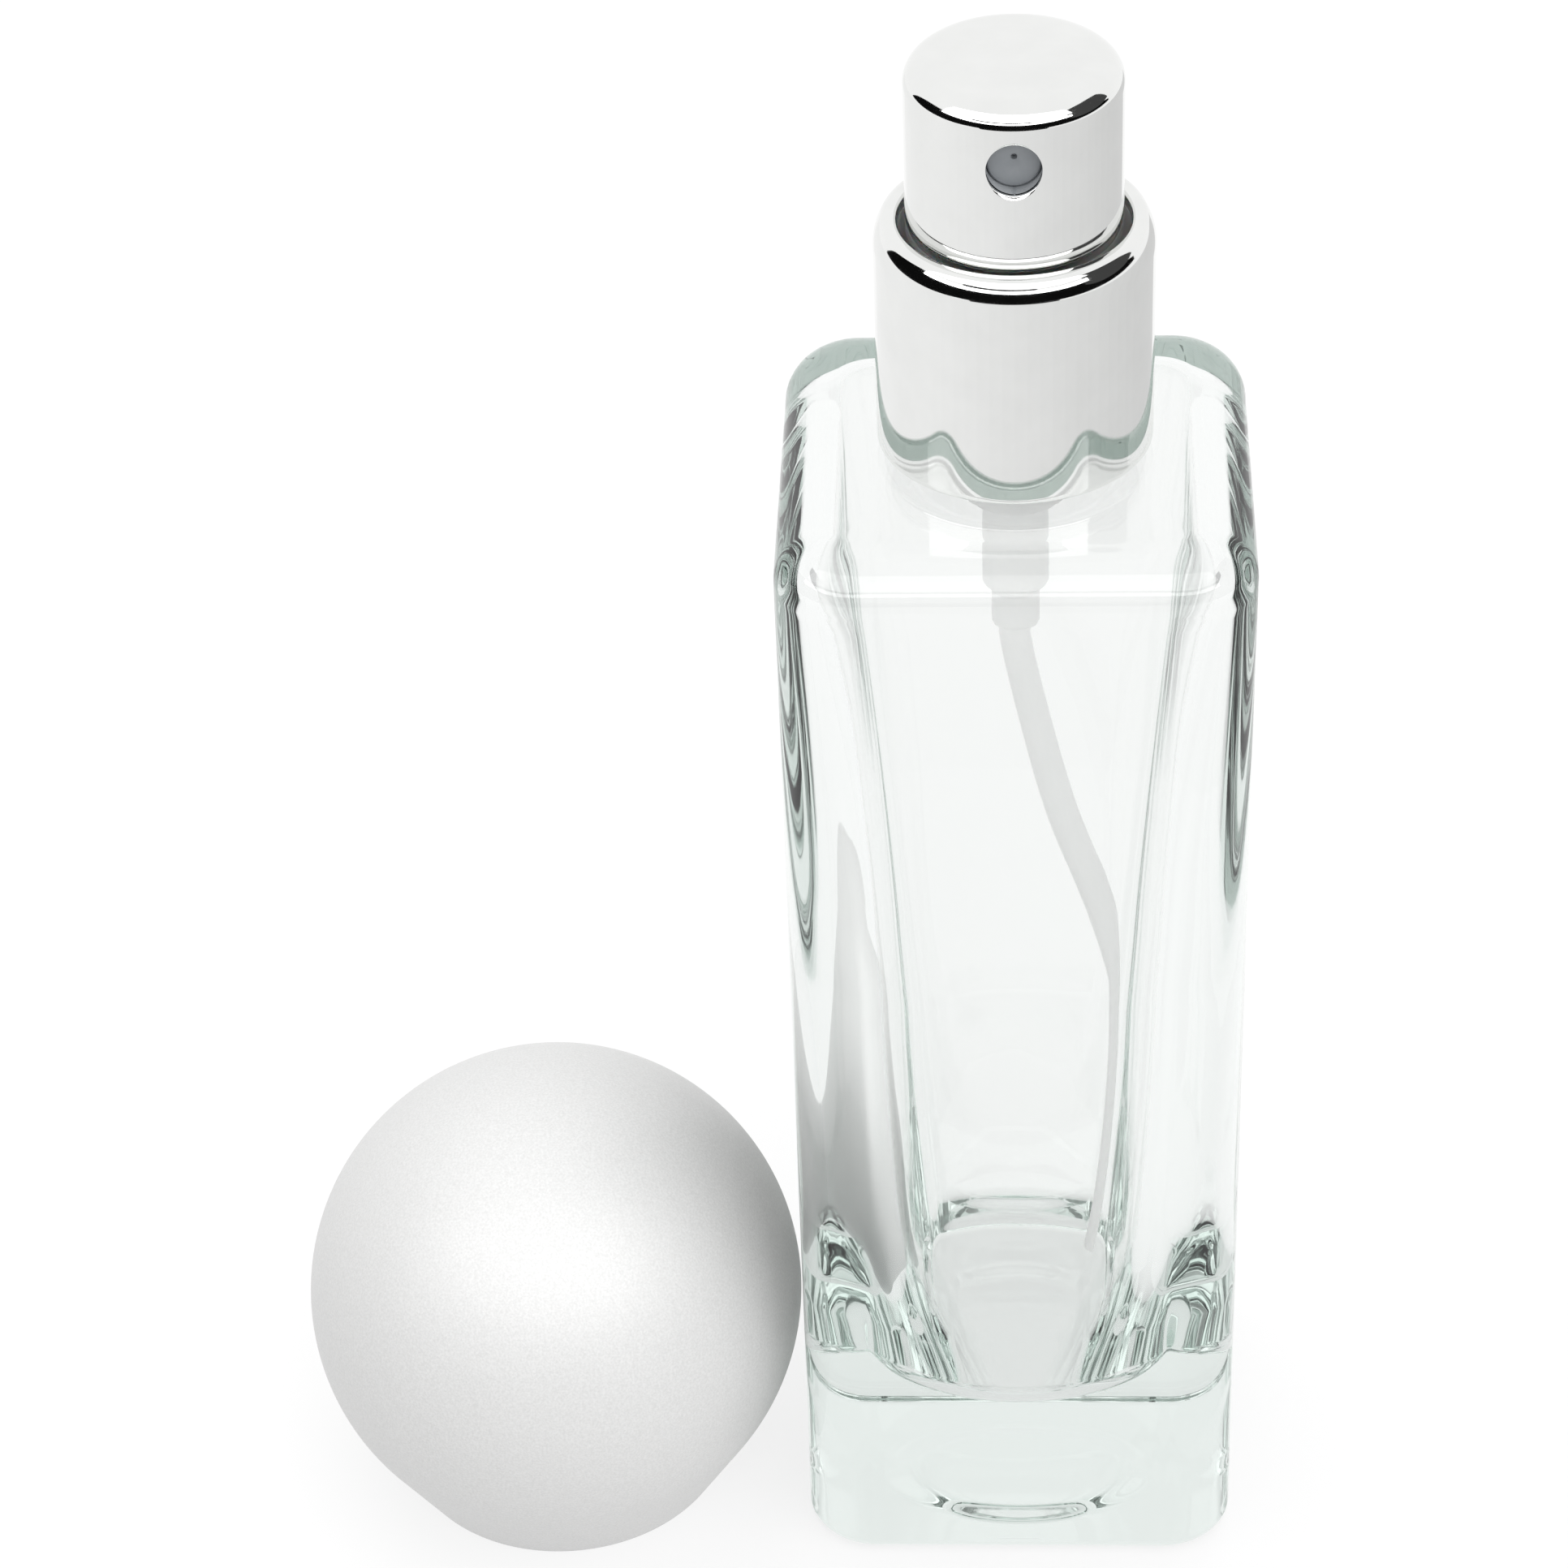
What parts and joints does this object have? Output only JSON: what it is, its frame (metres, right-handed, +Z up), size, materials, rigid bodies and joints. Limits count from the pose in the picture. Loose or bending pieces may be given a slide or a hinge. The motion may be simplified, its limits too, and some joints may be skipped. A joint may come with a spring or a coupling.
{
  "type": "aftershave bottle",
  "caption": "Square thick-based glass bottle with a metal-collared screw-on spray pump whose button presses and swivels, and a ball-shaped metal cap standing beside it.",
  "frame": {"origin": "on the bottle's vertical axis, on the plane that the bottle stands on", "axes": "+Z up along the bottle; the spray nozzle faces -Y; the cap stands on the -X side"},
  "size_m": [0.0677, 0.0373, 0.115],
  "materials": {
    "clear_glass": "clear flint glass, polished, with a faint green edge",
    "polished_metal": "mirror-polished silver anodised",
    "blasted_metal": "fine bead-blasted silver anodised",
    "spring_steel": "drawn stainless steel",
    "white_plastic": "moulded white polypropylene",
    "frosted_plastic": "translucent natural polyethylene",
    "grey_plastic": "moulded grey plastic",
    "gasket_rubber": "matt grey elastomer"
  },
  "bodies": {
    "bottle": {"glass_bottle": "clear_glass"},
    "pump": {"neck_gasket": "gasket_rubber", "pump_housing": "frosted_plastic", "pump_turret": "white_plastic", "stem_gasket": "gasket_rubber", "return_spring": "spring_steel", "dip_tube": "frosted_plastic"},
    "inlet_valve": {"inlet_ball": "spring_steel"},
    "stem": {"stem": "white_plastic", "piston": "frosted_plastic", "poppet": "white_plastic", "precompression_spring": "spring_steel"},
    "button": {"actuator_core": "grey_plastic", "actuator_shell": "polished_metal", "nozzle_insert": "grey_plastic"},
    "collar": {"screw_closure": "white_plastic", "collar_sleeve": "polished_metal"},
    "cap": {"cap_shell": "blasted_metal", "cap_liner": "white_plastic", "cap_weight": "spring_steel"}
  },
  "joints": [
    {"name": "pump_rise", "type": "slide", "parent": "bottle", "child": "pump", "axis": [0, 0, 1], "range_m": [0, 0.00265]},
    {"name": "collar_turn", "type": "hinge", "parent": "pump", "child": "collar", "pos_m": [0, 0, 0.095], "axis": [0, 0, 1], "range_deg": [0, 450]},
    {"name": "inlet_ball_lift", "type": "slide", "parent": "pump", "child": "inlet_valve", "axis": [0, 0, 1], "range_m": [0, 0.0008]},
    {"name": "spray_press", "type": "slide", "parent": "pump", "child": "stem", "axis": [0, 0, -1], "range_m": [0, 0.0038], "stiffness_N_per_m": 1500, "springref_m": -0.003, "deforming": ["return_spring"]},
    {"name": "button_swivel", "type": "hinge", "parent": "stem", "child": "button", "pos_m": [0, 0, 0.1086], "axis": [0, 0, 1], "continuous": true},
    {"name": "cap_lift", "type": "slide", "parent": "bottle", "child": "cap", "axis": [0, 0, 1], "range_m": [0, 0.12]}
  ],
  "couplings": [
    {"joint": "pump_rise", "follows": "collar_turn", "m_per_rad": 0.00033688}
  ]
}
